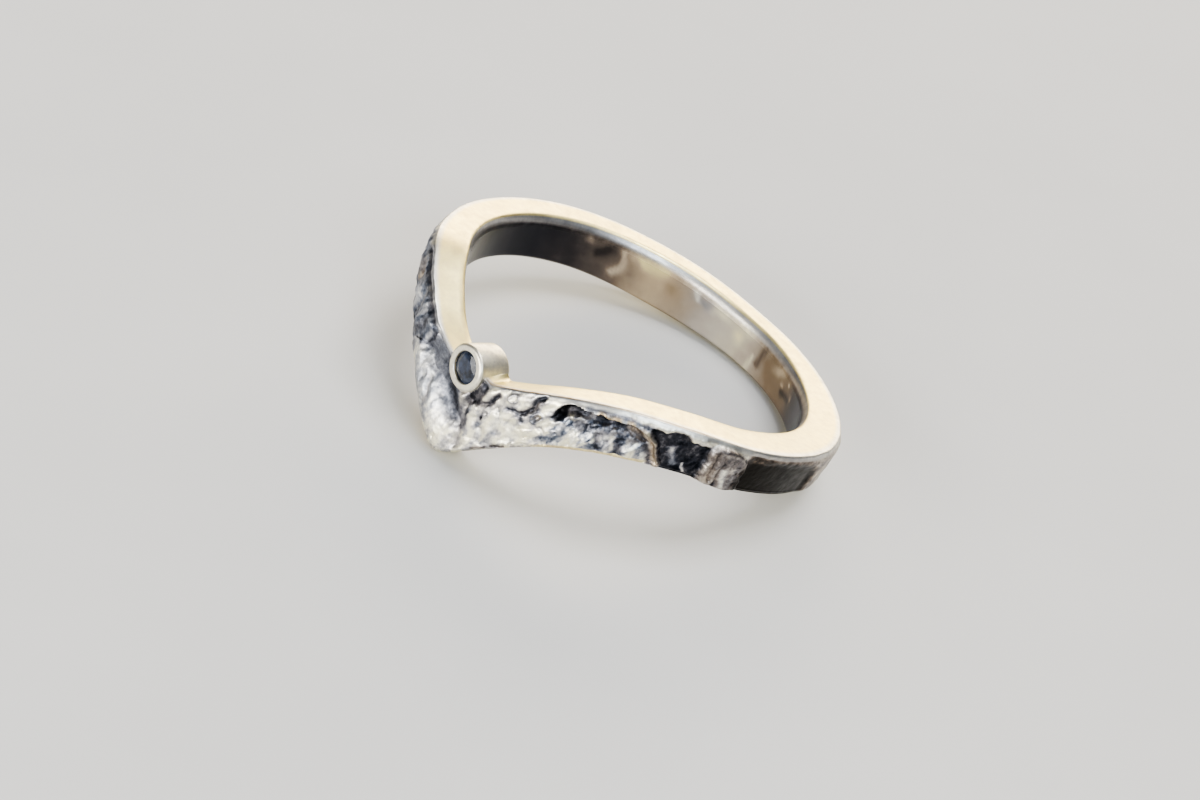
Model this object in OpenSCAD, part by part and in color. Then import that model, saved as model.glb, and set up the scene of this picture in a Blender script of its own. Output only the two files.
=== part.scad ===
// Wishbone wedding band in cast silver. The shank rises to two shoulders and dips to a V at the front.
// A short tube is soldered into the notch of the V and holds one small dark round cut stone.
// The front is -Y. The ring is drawn as it lies by itself, on the tip of the V and on the foot of its back,
// with z = 0 on the surface under it.

/* [Finger hole] */
// Diameter of the finger hole
finger_d = 16.3; // [15.5:0.1:17.5]
// Width of the bevel at the mouth of the hole, towards the rim
mouth_bevel = 0.2; // [0.1:0.05:0.3]
// Height of that bevel, down the wall of the hole
mouth_bevel_h = 0.33; // [0.2:0.01:0.45]
// How much deeper the wall is filed behind the V
front_ease = 0.03; // [0.02:0.01:0.08]

/* [Band] */
// How far the rim dips from the shoulders to the tip of the V
v_depth = 2.6; // [2:0.1:3]
// Width of the band at the back, from rim to foot
band_w = 2.2; // [1.9:0.1:2.8]
// Thickness of the band at the foot of its back
band_t = 1.41; // [1.3:0.01:1.6]
// Width of the flat of the rim at the back
rim_w = 1.05; // [0.9:0.05:1.2]
// Width of the bevel between the rim and the cast face
edge_bevel = 0.17; // [0.1:0.01:0.25]
// Height of that bevel
edge_bevel_h = 0.35; // [0.2:0.01:0.45]
// Size of the small bevels along the foot
foot_bevel = 0.14; // [0.08:0.01:0.2]
// Rounding of the V at its tip, in degrees round the finger
tip_round = 3; // [2:0.5:5]

/* [Cast face] */
// Strength of the hollows and ridges on the outer face, 1 as cast
relief = 1; // [0:0.1:1.2]
// Height of the fine waves over the whole outer face
wave_h = 0.035; // [0:0.005:0.06]

/* [Setting] */
// Outside diameter of the tube
tube_d = 2.1; // [2:0.01:2.4]
// Length of the tube, from the wall of the finger hole to the open end
tube_l = 1.7; // [1.6:0.01:1.9]
// Bevel round the open end of the tube
tube_bevel = 0.09; // [0.04:0.01:0.15]
// Height of the middle of the open end above the rim at the tip of the V
tube_rise = 0.3; // [0.2:0.01:0.6]
// How far the open end looks up, in degrees
tube_tilt = 0; // [-5:1:10]
// How far the open end looks to the left, in degrees
tube_turn = 3; // [0:0.5:8]
// How far the open end sits left of the tip of the V
tube_shift = 0.1; // [0:0.01:0.2]

/* [Stone] */
// Diameter of the stone at its girdle
stone_d = 1.45; // [1.35:0.01:1.5]
// Clearance round the stone
stone_gap = 0.03; // [0.02:0.01:0.04]
// Depth of the girdle below the open end of the tube
girdle_depth = 0.18; // [0.18:0.01:0.3]
// Height of the crown, from girdle to table
crown_h = 0.16; // [0.13:0.01:0.17]
// Depth of the pavilion, from girdle to point
pavilion_h = 0.58; // [0.45:0.01:0.65]

/* [Hidden] */

// Shape of each arm. Rows go from the tip of the V round to the middle of the back. The columns are the
// angle from the tip, the height of the rim in shares of v_depth from 0 at the shoulders to -1 at the tip,
// the width from rim to foot in shares of band_w, the flat of the rim in shares of rim_w, and the thickness
// at the foot in shares of band_t.
ANGLE = 0;
RIM = 1;
WIDTH = 2;
FLAT = 3;
FOOT = 4;
LEFT_ARM = [
    [0, -1.00, 1.77, 1.28, 1.06],
    [12, -0.75, 1.43, 1.40, 1.06],
    [25, -0.38, 1.22, 1.40, 1.13],
    [40, -0.04, 1.10, 1.39, 1.18],
    [58, 0.00, 1.04, 1.28, 1.20],
    [80, -0.04, 1.03, 1.25, 1.26],
    [110, -0.11, 1.07, 1.25, 1.25],
    [145, -0.26, 1.12, 1.08, 1.13],
    [180, -0.385, 1.00, 1.00, 1.00]
];
RIGHT_ARM = [
    [0, -1.00, 1.77, 1.28, 1.06],
    [12, -0.64, 1.43, 1.28, 1.09],
    [25, -0.26, 1.19, 1.30, 1.13],
    [40, 0.03, 1.07, 1.38, 1.19],
    [58, 0.11, 1.02, 1.51, 1.24],
    [80, -0.04, 1.02, 1.66, 1.29],
    [110, -0.26, 1.03, 1.64, 1.29],
    [145, -0.40, 0.97, 1.24, 1.16],
    [180, -0.385, 1.00, 1.00, 1.00]
];

// Hollows and ridges of the cast face. The columns are the angle of the middle, positive on the right arm,
// its drop below the rim, half its length and half its width, its height, negative for a hollow, the turn
// of its length towards the foot in degrees, and how many times steeper its upper side is.
AT = 0;
DROP = 1;
LONG = 2;
WIDE = 3;
RISE = 4;
TURN = 5;
STEEP = 6;
FORMS = [
    // Trough under the tube, the fat smooth ridge along the foot of the left arm, and the crease after it
    [-5, 1.00, 2.30, 0.70, -0.28, 30, 1.0],
    [-12.5, 2.20, 2.20, 0.80, 0.17, 22, 1.0],
    [-2, 3.10, 1.30, 0.75, 0.12, 20, 1.0],
    [4.5, 2.10, 1.50, 0.26, -0.13, 78, 1.0],
    // Crags of the left arm
    [-18.5, 1.10, 1.30, 0.34, -0.17, -55, 1.0],
    [-24.5, 1.35, 0.80, 0.40, 0.13, -65, 1.0],
    [-29, 1.10, 0.80, 0.38, -0.18, -65, 1.0],
    [-33.5, 1.45, 0.90, 0.42, 0.13, -65, 1.0],
    [-38, 1.05, 0.80, 0.38, -0.16, -65, 1.0],
    [-44, 1.30, 0.90, 0.55, 0.10, -65, 1.0],
    // Hollow and wavy groove beside the tube, a small bubble, and the swelling under them
    [6, 0.55, 0.60, 0.50, -0.13, 0, 1.0],
    [8.5, 0.95, 0.85, 0.24, -0.14, -10, 1.0],
    [16, 0.43, 0.32, 0.32, 0.05, 0, 1.0],
    [12, 2.20, 1.60, 0.90, 0.08, -8, 1.0],
    // Hooked groove with its tail and the small crater inside it
    [21.4, 0.75, 0.80, 0.27, -0.21, -60, 1.0],
    [17.4, 1.05, 0.75, 0.24, -0.12, 18, 1.0],
    [23.3, 1.22, 0.30, 0.30, -0.11, 0, 1.0],
    // Long hollow under the lip of the right arm, the rib that closes it and the swelling under it
    [30, 0.66, 0.75, 0.46, -0.32, 0, 2.6],
    [38.5, 0.92, 1.35, 0.50, -0.30, 8, 2.4],
    [47, 1.12, 0.95, 0.44, -0.22, 28, 1.8],
    [50.8, 1.25, 1.20, 0.26, 0.16, 54, 1.0],
    [40, 1.95, 1.90, 0.42, 0.09, 4, 1.0],
    // Sunk flat, rough block and smooth facet at the right
    [60, 1.45, 1.15, 1.20, -0.20, 0, 1.4],
    [71.8, 1.40, 1.15, 1.40, 0.21, 4, 1.0],
    [87, 1.35, 1.70, 1.10, -0.16, 0, 1.0],
    // Calmer forms round the sides and the back
    [104, 1.25, 1.60, 0.70, 0.14, 10, 1.0],
    [122, 1.30, 1.70, 0.80, -0.14, -12, 1.4],
    [141, 1.10, 1.50, 0.60, 0.10, 8, 1.0],
    [160, 1.25, 1.60, 0.70, -0.12, 14, 1.4],
    [-177, 1.05, 1.40, 0.60, 0.10, -10, 1.0],
    [-158, 1.30, 1.60, 0.75, -0.14, 10, 1.4],
    [-137, 1.40, 1.50, 0.70, 0.12, -8, 1.0],
    [-116, 1.20, 1.60, 0.75, -0.14, 12, 1.4],
    [-95, 1.30, 1.50, 0.70, 0.13, -10, 1.0],
    [-74, 1.15, 1.50, 0.70, -0.14, 14, 1.4],
    [-57, 1.30, 1.20, 0.65, 0.13, -12, 1.0]
];

// Fine waves over the whole cast face. The columns are the waves in one turn round the finger, how far they
// shift with each millimetre below the rim, in degrees, and their share of wave_h.
ROUND = 0;
SHIFT = 1;
SHARE = 2;
WAVES = [
    [9, 110, 1.0],
    [17, -160, 0.6]
];

// Fineness of the cast face: sections round the finger, and rows from rim to foot
angle_step = 2;
face_rows = 10;
// Share of the relief that is left at the inner edge of the foot's outer bevel
foot_share = 0.5;

hole_r = finger_d / 2;
// Stock left inside the hole for the bore to cut away
bore_stock = 0.4;
// Half of the front part of the wall that is filed deeper
ease_angle = 41;
round_fn = 96;
tall = 20;

function arm(a) = a < 0 ? LEFT_ARM : RIGHT_ARM;
function from_tip(a) = min(180, sqrt(a * a + tip_round * tip_round) - tip_round * (1 - abs(a) / 180));

// Smooth curve through one column of an arm's table
function row_at(rows, u) = min(len(rows) - 2, len([for (r = rows) if (r[ANGLE] <= u) r]) - 1);
function span(rows, i) = rows[i + 1][ANGLE] - rows[i][ANGLE];
function slope(rows, column, i) = (rows[i + 1][column] - rows[i][column]) / span(rows, i);
function tangent(rows, column, i) =
    i == 0 ? slope(rows, column, 0)
    : i == len(rows) - 1 ? 0
    : (slope(rows, column, i - 1) * span(rows, i) + slope(rows, column, i) * span(rows, i - 1))
        / (span(rows, i) + span(rows, i - 1));
function along(rows, column, u) =
    let (i = row_at(rows, u), h = span(rows, i), t = (u - rows[i][ANGLE]) / h)
    (1 + 2 * t) * pow(1 - t, 2) * rows[i][column]
    + t * pow(1 - t, 2) * h * tangent(rows, column, i)
    + t * t * (3 - 2 * t) * rows[i + 1][column]
    + t * t * (t - 1) * h * tangent(rows, column, i + 1);

function rim_z(a) = v_depth * along(arm(a), RIM, from_tip(a));
function width(a) = band_w * along(arm(a), WIDTH, from_tip(a));
function rim_out(a) = hole_r + mouth_bevel + rim_w * along(arm(a), FLAT, from_tip(a));
function foot_z(a) = rim_z(a) - width(a);
function foot_out(a) = hole_r + band_t * along(arm(a), FOOT, from_tip(a));

// Height of the cast relief at an angle and a drop below the rim
function turned(a) = a > 180 ? a - 360 : a < -180 ? a + 360 : a;
function form(f, a, drop) =
    let (
        x = turned(a - f[AT]) * PI / 180 * (hole_r + rim_w),
        y = drop - f[DROP],
        p = (x * cos(f[TURN]) + y * sin(f[TURN])) / f[LONG],
        q = (y * cos(f[TURN]) - x * sin(f[TURN])) / f[WIDE],
        d = p * p + pow(q < 0 ? q * f[STEEP] : q, 2)
    )
    d < 1 ? f[RISE] * pow(1 - d, 2) * (1 + d) : 0;
function total(values, i = 0) = i < len(values) ? values[i] + total(values, i + 1) : 0;
function waves(a, drop) = wave_h * total([for (w = WAVES) w[SHARE] * sin(w[ROUND] * a + w[SHIFT] * drop)]);
function cast(a, drop) = relief * total([for (f = FORMS) form(f, a, drop)]) + waves(a, drop);

// One section of the band at an angle, as [radius, height] from the wall of the hole round the rim,
// down the cast face and back along the foot
function section(a) =
    let (
        top = rim_z(a),
        foot = foot_z(a),
        face_top = [rim_out(a) + edge_bevel, top - edge_bevel_h],
        face_foot = [foot_out(a), foot + foot_bevel],
        inner = hole_r - bore_stock,
        bevel_slope = mouth_bevel_h / mouth_bevel
    )
    concat(
        [
            [inner, top - mouth_bevel_h - bevel_slope * bore_stock],
            [hole_r + mouth_bevel, top],
            [rim_out(a), top]
        ],
        [
            for (i = [0 : face_rows])
                let (p = face_top + (face_foot - face_top) * i / face_rows)
                [p[0] + cast(a, top - p[1]), p[1]]
        ],
        [
            [foot_out(a) - foot_bevel + foot_share * cast(a, width(a)), foot],
            [hole_r + foot_bevel, foot],
            [inner, foot + foot_bevel + bore_stock]
        ]
    );

// Sweeps the sections round the finger into one closed solid
module shank() {
    angles = [for (a = [-180 : angle_step : 180 - angle_step]) a];
    rings = [for (a = angles) section(a)];
    n = len(angles);
    m = len(rings[0]);
    points = [
        for (i = [0 : n - 1])
            for (p = rings[i])
                [p[0] * sin(angles[i]), -p[0] * cos(angles[i]), p[1]]
    ];
    faces = [
        for (i = [0 : n - 1])
            for (j = [0 : m - 1])
                let (
                    i1 = (i + 1) % n,
                    j1 = (j + 1) % m,
                    a = i * m + j,
                    b = i1 * m + j,
                    c = i1 * m + j1,
                    d = i * m + j1
                )
                each [[a, b, c], [a, c, d]]
    ];
    polyhedron(points, faces, convexity = 8);
}

// Carries what is drawn along +Z, with the open end of the tube at z = 0, to its place in the V
module in_tube() {
    translate([-tube_shift, -hole_r - tube_l, rim_z(0) + tube_rise])
        rotate([90 - tube_tilt, 0, -tube_turn])
            children();
}

tube_stock = tube_l + bore_stock;
// How far the lip of the tube reaches over the edge of the stone
lip_over = 0.02;
// Heights from the girdle up to the lip and down to the cone of the seat
lip_clear = 0.08;
seat_clear = 0.12;
// Radius of the open hole behind the stone
through_r = 0.42;
seat_r = stone_d / 2 + stone_gap;
lip_r = stone_d / 2 - lip_over;
lip_h = girdle_depth - lip_clear;
seat_floor = girdle_depth + seat_clear;

// Hole of the tube: the lip, the seat under it and the open hole behind the stone
module seat() {
    rotate_extrude($fn = round_fn)
        polygon([
            [0, tube_stock],
            [lip_r, tube_stock],
            [lip_r, -lip_h],
            [seat_r, -lip_h - (seat_r - lip_r)],
            [seat_r, -seat_floor],
            [through_r, -seat_floor - (seat_r - through_r)],
            [through_r, -tube_stock],
            [0, -tube_stock]
        ]);
}

// The tube, with a beveled open end and stock that reaches into the finger hole
module tube() {
    rotate_extrude($fn = round_fn)
        polygon([
            [0, -tube_stock],
            [tube_d / 2, -tube_stock],
            [tube_d / 2, -tube_bevel],
            [tube_d / 2 - tube_bevel, 0],
            [0, 0]
        ]);
}

module band_upright() {
    difference() {
        union() {
            shank();
            in_tube()
                tube();
        }
        translate([0, 0, -tall / 2])
            cylinder(r = hole_r, h = tall, $fn = round_fn);
        rotate([0, 0, -90 - ease_angle])
            rotate_extrude(angle = 2 * ease_angle, $fn = round_fn)
                translate([hole_r - bore_stock, -tall / 2])
                    square([bore_stock + front_ease, tall]);
        in_tube()
            seat();
    }
}

// Round brilliant: an eight-sided table, a crown and a pavilion of kites and halves, and a thin girdle.
// The kites stay flat because their side corners lie on the plane from table to girdle.
table_share = 0.56;
star_share = 0.80;
break_share = 0.25;
girdle_h = 0.05;

module brilliant() {
    r = stone_d / 2;
    half = girdle_h / 2;
    star_z = half + (crown_h - half) * (1 - star_share * cos(22.5)) / (1 - table_share);
    break_z = -pavilion_h + (pavilion_h - half) * break_share * cos(22.5);
    function ring(radius, count, first, z) = [
        for (k = [0 : count - 1])
            let (a = first + k * 360 / count)
            [radius * cos(a), radius * sin(a), z]
    ];
    points = concat(
        ring(r * table_share, 8, 22.5, crown_h),
        ring(r * star_share, 8, 0, star_z),
        ring(r, 16, 0, half),
        ring(r, 16, 0, -half),
        ring(r * break_share, 8, 0, break_z),
        [[0, 0, -pavilion_h]]
    );
    star = 8;
    upper = 16;
    lower = 32;
    low = 48;
    culet = 56;
    faces = concat(
        [[for (k = [7 : -1 : 0]) k]],
        [
            for (k = [0 : 7])
                let (
                    last = (k + 7) % 8,
                    next = (k + 1) % 8,
                    here = 2 * k,
                    right = 2 * k + 1,
                    left = (2 * k + 15) % 16
                )
                each [
                    [last, k, star + k],
                    [k, star + next, upper + right, star + k],
                    [star + k, upper + right, upper + here],
                    [star + k, upper + here, upper + left],
                    [lower + here, lower + right, low + k],
                    [lower + left, lower + here, low + k],
                    [lower + right, low + next, culet, low + k]
                ]
        ],
        [
            for (j = [0 : 15])
                let (next = (j + 1) % 16)
                [upper + j, upper + next, lower + next, lower + j]
        ]
    );
    polyhedron(points, faces, convexity = 2);
}

module stone_upright() {
    in_tube()
        translate([0, 0, -girdle_depth])
            brilliant();
}

// The ring leans back until the tip of the V and the foot of its back are level, stands on z = 0 and has
// its middle over the origin
tip_r = hole_r + foot_bevel;
back_r = foot_out(180) - foot_bevel;
lean = atan((foot_z(180) - foot_z(0)) / (back_r + tip_r));
lift = -(tip_r * sin(lean) + foot_z(0) * cos(lean));
front_y = -foot_out(0) * cos(lean) + foot_z(0) * sin(lean);
back_y = (rim_out(180) + edge_bevel) * cos(lean) + rim_z(180) * sin(lean);
forward = -(front_y + back_y) / 2;

module resting() {
    translate([0, forward, lift])
        rotate([-lean, 0, 0])
            children();
}

module band() {
    color("silver")
        resting()
            band_upright();
}

module stone() {
    color("#20242e")
        resting()
            stone_upright();
}

band();
stone();
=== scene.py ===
"""Looks of a wishbone wedding band: cast silver with a filed rim, a polished finger hole and a dark stone.

The band is built again in fine detail, upright and in millimetres, from the driving sizes of the solids, and
is then laid down as the ring rests. Angles run round the finger from the tip of the V, positive on the right
arm. A drop is the distance below the rim, down the cast outer face.
"""
import math

import bpy
import numpy as np
from mathutils import Matrix, Vector, noise
from mathutils.kdtree import KDTree


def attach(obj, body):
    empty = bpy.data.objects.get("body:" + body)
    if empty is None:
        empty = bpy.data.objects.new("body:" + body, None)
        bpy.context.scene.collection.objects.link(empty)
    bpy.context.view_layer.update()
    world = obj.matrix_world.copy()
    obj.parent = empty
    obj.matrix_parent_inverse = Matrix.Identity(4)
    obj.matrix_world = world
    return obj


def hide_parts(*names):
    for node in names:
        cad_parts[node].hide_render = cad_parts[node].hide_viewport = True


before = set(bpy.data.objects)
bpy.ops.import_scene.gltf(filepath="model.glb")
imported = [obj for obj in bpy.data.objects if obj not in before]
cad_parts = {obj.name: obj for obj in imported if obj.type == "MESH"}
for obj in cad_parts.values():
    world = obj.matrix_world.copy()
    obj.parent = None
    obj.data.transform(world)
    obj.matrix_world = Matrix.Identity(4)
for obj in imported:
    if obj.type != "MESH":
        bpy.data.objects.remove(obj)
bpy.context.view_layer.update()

MM = 0.001

# Finger hole and bevels, in millimetres
HOLE_R = 8.15
FRONT_EASE = 0.03
EASE_ANGLE = 41
MOUTH_BEVEL = (0.2, 0.33)
EDGE_BEVEL = (0.17, 0.35)
FOOT_BEVEL = 0.14

# Band: dip of the V, width, flat of the rim and thickness at the foot, all at the back of the ring
V_DEPTH = 2.6
BAND_W = 2.2
RIM_W = 1.05
BAND_T = 1.41
TIP_ROUND = 3

# Tube and stone
TUBE_R = 1.05
TUBE_L = 1.7
TUBE_BEVEL = 0.09
TUBE_RISE = 0.3
TUBE_TILT = 0
TUBE_TURN = 3
TUBE_SHIFT = 0.1
STONE_R = 0.725
STONE_GAP = 0.03
GIRDLE_DEPTH = 0.18
THROUGH_R = 0.42
TUBE_REAR_R = 0.24
LIP_OVER, LIP_CLEAR, SEAT_CLEAR = 0.02, 0.08, 0.12
# How far the open end of the tube stands out of the cast face
TUBE_STANDS = 0.15
# Solder from the rim up the side of the tube: how high, how far out and how far in it starts
FILLET_RISE, FILLET_REACH, FILLET_IN = 0.52, 0.7, 0.1
# Share of that rise lost across the rim, how far across, the drops over which the face loses the rest, its
# curve, and the share of it on the left
FILLET_FALL, FILLET_ACROSS, FILLET_DROP = 0.55, 1.5, (0.3, 1.2)
FILLET_CURVE, FILLET_LEFT = 1.5, 0.5
# Solder round the tube on the cast face: its height and reach, the drop where it starts, its end in the tube
SEAM_RISE, SEAM_REACH, SEAM_BELOW, SEAM_IN = 0.04, 0.1, 0.2, (-0.12, -0.03)
# How far the hand-made tube strays from round, over what length, and the seed of that noise
TUBE_WANDER, TUBE_WANDER_SIZE, TUBE_SEED = 0.02, 0.9, 1
# Facets round the tube, rounding of its edges and its hole's, how far its rear stands off the finger hole,
# and how far the cutter of its hole goes past its ends
TUBE_SIDES, TUBE_EDGE_R, HOLE_EDGE_R = 128, 0.07, 0.02
OFF_WALL, PAST_FRONT, PAST_REAR = 0.005, 0.3, 1.5
TUBE_TONE = 0.09
TUBE_WARMTH = -0.3

# Shape of each arm from the tip of the V to the back: the angle from the tip, the height of the rim in shares
# of V_DEPTH, the width in BAND_W, the flat of the rim in RIM_W and the thickness at the foot in BAND_T
ANGLE, RIM, WIDTH, FLAT, FOOT = range(5)
LEFT_ARM = np.array([
    (0, -1, 1.77, 1.28, 1.06),
    (12, -0.75, 1.43, 1.4, 1.06),
    (25, -0.38, 1.22, 1.4, 1.13),
    (40, -0.04, 1.1, 1.39, 1.18),
    (58, 0, 1.04, 1.28, 1.2),
    (80, -0.04, 1.03, 1.25, 1.26),
    (110, -0.11, 1.07, 1.25, 1.25),
    (145, -0.26, 1.12, 1.08, 1.13),
    (180, -0.385, 1, 1, 1),
])
RIGHT_ARM = np.array([
    (0, -1, 1.77, 1.28, 1.06),
    (12, -0.64, 1.43, 1.28, 1.09),
    (25, -0.26, 1.19, 1.3, 1.13),
    (40, 0.03, 1.07, 1.38, 1.19),
    (58, 0.11, 1.02, 1.51, 1.24),
    (80, -0.04, 1.02, 1.66, 1.29),
    (110, -0.26, 1.03, 1.64, 1.29),
    (145, -0.4, 0.97, 1.24, 1.16),
    (180, -0.385, 1, 1, 1),
])

# Angle between sections where the cast face is detailed and elsewhere, and the ends of the detailed stretch
FINE_STEP = 0.25
PLAIN_STEP = 1.1
DETAILED = (-52, 98)
# Sides of a section: rows of points, and rounding and steps of the corner at the start. Then the most of a
# side that a corner takes.
SIDES = {
    "wall": (11, 0.04, 2), "mouth": (2, 0.14, 2), "rim": (5, 0.1, 2), "edge": (4, 0.1, 4),
    "face": (57, 0.12, 4), "foot_out": (2, 0.05, 2), "under": (4, 0.05, 2), "foot_in": (2, 0.05, 2),
}
MOST_OF_SIDE = 0.45


def column(name_index, angles):
    """One column of the arms' tables at these angles, as a smooth curve that rounds the tip of the V."""
    out = np.empty_like(angles)
    u = np.sqrt(angles**2 + TIP_ROUND**2) - TIP_ROUND * (1 - np.abs(angles) / 180)
    u = np.minimum(u, 180)
    for arm, here in ((LEFT_ARM, angles < 0), (RIGHT_ARM, angles >= 0)):
        x, y = arm[:, ANGLE], arm[:, name_index]
        span = np.diff(x)
        slope = np.diff(y) / span
        tangent = np.zeros_like(y)
        tangent[0] = slope[0]
        tangent[1:-1] = (slope[:-1] * span[1:] + slope[1:] * span[:-1]) / (span[1:] + span[:-1])
        i = np.clip(np.searchsorted(x, u[here], side="right") - 1, 0, len(span) - 1)
        t = (u[here] - x[i]) / span[i]
        out[here] = (
            (1 + 2 * t) * (1 - t) ** 2 * y[i]
            + t * (1 - t) ** 2 * span[i] * tangent[i]
            + t * t * (3 - 2 * t) * y[i + 1]
            + t * t * (t - 1) * span[i] * tangent[i + 1]
        )
    return out


def rim_z(a):
    return V_DEPTH * column(RIM, a)


def width(a):
    return BAND_W * column(WIDTH, a)


def rim_out(a):
    return HOLE_R + MOUTH_BEVEL[0] + RIM_W * column(FLAT, a)


def foot_out(a):
    return HOLE_R + BAND_T * column(FOOT, a)


# Finishes of the silver, how near a point of the joined mesh is to its own in the grid, and the angle from
# which an edge is sharp
CAST, FILED, POLISHED, TUBE = range(4)
SAME_PLACE = 0.02
SHARP_ANGLE = 50

# Flat map of the outer face: x is the angle times the face's radius, y is the drop
FACE_R = 9.8
PER_DEGREE = math.radians(FACE_R)
# How far outlines stray on the face and on the wall, and the wall's ground in degrees
WANDER, WALL_DRIFT, GROUND_DRIFT = 0.07, 0.3, 3
# Slope and ring of a crater, in shares of its radius, and how fast a spot falls off
CRATER_SLOPE, CRATER_RING, SPOT_FALL = 0.8, 0.3, 1.5
# Lip over a ledge, share of its path over which it starts and stops, and its end in reaches
LIP_SPREAD, LEDGE_FADE, LEDGE_END = 0.12, 0.08, 6
CREST_HEIGHT, CREST_SOFTNESS = 3, 0.006
# Noises over the ring, as the arguments of field and ridged, and how their octaves follow
LUMPS = {"size": 1.1}
FOLDS = {"size": 0.55, "tall": 2.2, "slant": 0.35, "seed": 7.0}
FINE_GRAIN = {"size": 0.18, "octaves": 2, "tall": 1.4, "slant": 0.35, "seed": 3.0}
STRAY_ALONG, STRAY_DOWN = {"size": 0.4, "seed": 11.0}, {"size": 0.4, "seed": 17.0}
PATCHES = {"size": 0.55, "octaves": 4, "tall": 1.7, "slant": 0.35, "seed": 23.0}
FLECKS = {"size": 0.3, "tall": 1.8, "slant": 0.35, "seed": 41.0}
WALL_NOISE = {"size": 1.4, "seed": 31.0}
RIM_LINE_NOISE = {"size": 0.6, "octaves": 2, "seed": 53.0}
OCTAVES_FALL, OCTAVES_STEP = 1.0, 2.1


def smooth(x, low, high):
    """0 below low, 1 above high and a smooth climb between them."""
    t = np.clip((x - low) / (high - low), 0, 1)
    return t * t * (3 - 2 * t)


def curve_through(points, steps=6, closed=False):
    """A smooth line through points given as (angle, drop), in the flat map."""
    p = [np.array((a * PER_DEGREE, d)) for a, d in points]
    p = [p[-1], *p, p[0], p[1]] if closed else [2 * p[0] - p[1], *p, 2 * p[-1] - p[-2]]
    line = []
    for a, b, c, d in zip(p, p[1:], p[2:], p[3:]):
        second, third = 2 * a - 5 * b + 4 * c - d, 3 * b - a - 3 * c + d
        line += [0.5 * (2 * b + (c - a) * t + second * t**2 + third * t**3) for t in np.arange(steps) / steps]
    if not closed:
        line.append(p[-2])
    return np.array(line)


def near(line, x, y, closed=False):
    """Distance to a line, the side of it, +1 on its right on the map, and the share of the way along it."""
    ends = np.vstack([line, line[:1]]) if closed else line
    best = np.full(x.shape, 1e9)
    side = np.zeros(x.shape)
    share = np.zeros(x.shape)
    lengths = np.hypot(*np.diff(ends, axis=0).T)
    run = np.concatenate([[0], np.cumsum(lengths)])
    for (ax, ay), (bx, by), start, length in zip(ends[:-1], ends[1:], run, lengths):
        ux, uy = (bx - ax) / length, (by - ay) / length
        t = np.clip((x - ax) * ux + (y - ay) * uy, 0, length)
        dx, dy = x - ax - t * ux, y - ay - t * uy
        distance = np.hypot(dx, dy)
        closer = distance < best
        best = np.where(closer, distance, best)
        side = np.where(closer, np.where(ux * dy - uy * dx >= 0, 1.0, -1.0), side)
        share = np.where(closer, (start + t) / run[-1], share)
    return best, side, share


def inside(line, x, y):
    """True within a closed line."""
    odd = np.zeros(x.shape, bool)
    for (ax, ay), (bx, by) in zip(line, np.roll(line, -1, axis=0)):
        crosses = (ay > y) != (by > y)
        odd ^= crosses & (x < (bx - ax) * (y - ay) / (by - ay + 1e-12) + ax)
    return odd


def between(x, rise_from, rise_to, fall_from, fall_to):
    """1 within a stretch and 0 outside it, with a smooth climb and fall."""
    return smooth(x, rise_from, rise_to) * (1 - smooth(x, fall_from, fall_to))


def ends_fade(share, fade=0.12):
    return smooth(share, 0, fade) * smooth(1 - share, 0, fade)


def stroke(x, y, path, half):
    """1 along a path, falling off to each side over its half width."""
    distance, _, share = near(curve_through(path), x, y)
    return np.exp(-((distance / half) ** 2)) * ends_fade(share)


def circle(x, y, place, radius, tall, half):
    """1 along a circle round a place, falling off in the same way."""
    turns = np.radians(np.arange(0, 360, 45))
    across, down = radius / PER_DEGREE * np.cos(turns), radius * tall * np.sin(turns)
    line = curve_through(list(zip(place[0] + across, place[1] + down)), closed=True)
    distance, _, _ = near(line, x, y, closed=True)
    return np.exp(-((distance / half) ** 2))


def area(x, y, outline, edge):
    """1 inside an outline, with an edge that falls off."""
    line = curve_through(outline, closed=True)
    distance, _, _ = near(line, x, y, closed=True)
    signed = np.where(inside(line, x, y), distance, -distance)
    return smooth(signed, -edge / 2, edge / 2)


def spot(x, y, place, half_x, half_y, turn=0):
    """A soft oval of strength 1, its length turned towards the foot by an angle."""
    c, s = math.cos(math.radians(turn)), math.sin(math.radians(turn))
    u = x - place[0] * PER_DEGREE
    v = y - place[1]
    p = (u * c + v * s) / half_x
    q = (v * c - u * s) / half_y
    return np.exp(-SPOT_FALL * (p * p + q * q))


def crater(x, y, place, radius, depth, rim):
    """A round pit with a raised ring round it."""
    distance = np.hypot(x - place[0] * PER_DEGREE, y - place[1])
    bowl = -depth * smooth(radius - distance, 0, CRATER_SLOPE * radius)
    ring = rim * np.exp(-(((distance - radius) / (CRATER_RING * radius)) ** 2))
    return bowl + ring


def ledge(x, y, path, depth, reach, lip=0.0, edge=0.05):
    """Ground that drops off on the right of a path and climbs back over reach, with a raised lip."""
    distance, side, share = near(curve_through(path), x, y)
    signed = distance * side
    fall = -depth * smooth(signed, 0, edge) * np.exp(-np.clip(signed, 0, None) / reach)
    crest = lip * np.exp(-((np.clip(-signed, 0, None) / LIP_SPREAD) ** 2)) * (side < 0)
    return (fall + crest) * ends_fade(share, LEDGE_FADE) * (distance < LEDGE_END * reach)


def field(a, z, size, octaves=3, tall=1.0, slant=0.0, seed=0.0):
    """Soft noise at points of the face, about -1 to 1, drawn out along a slanting upright."""
    t = np.radians(a) - slant * z / FACE_R
    across, forward = FACE_R * np.sin(t) / size + seed, -FACE_R * np.cos(t) / size
    points = np.stack([across, forward, z / size / tall], axis=-1)
    values = [noise.fractal(p, OCTAVES_FALL, OCTAVES_STEP, octaves) for p in points.reshape(-1, 3)]
    return np.array(values).reshape(a.shape)


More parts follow.
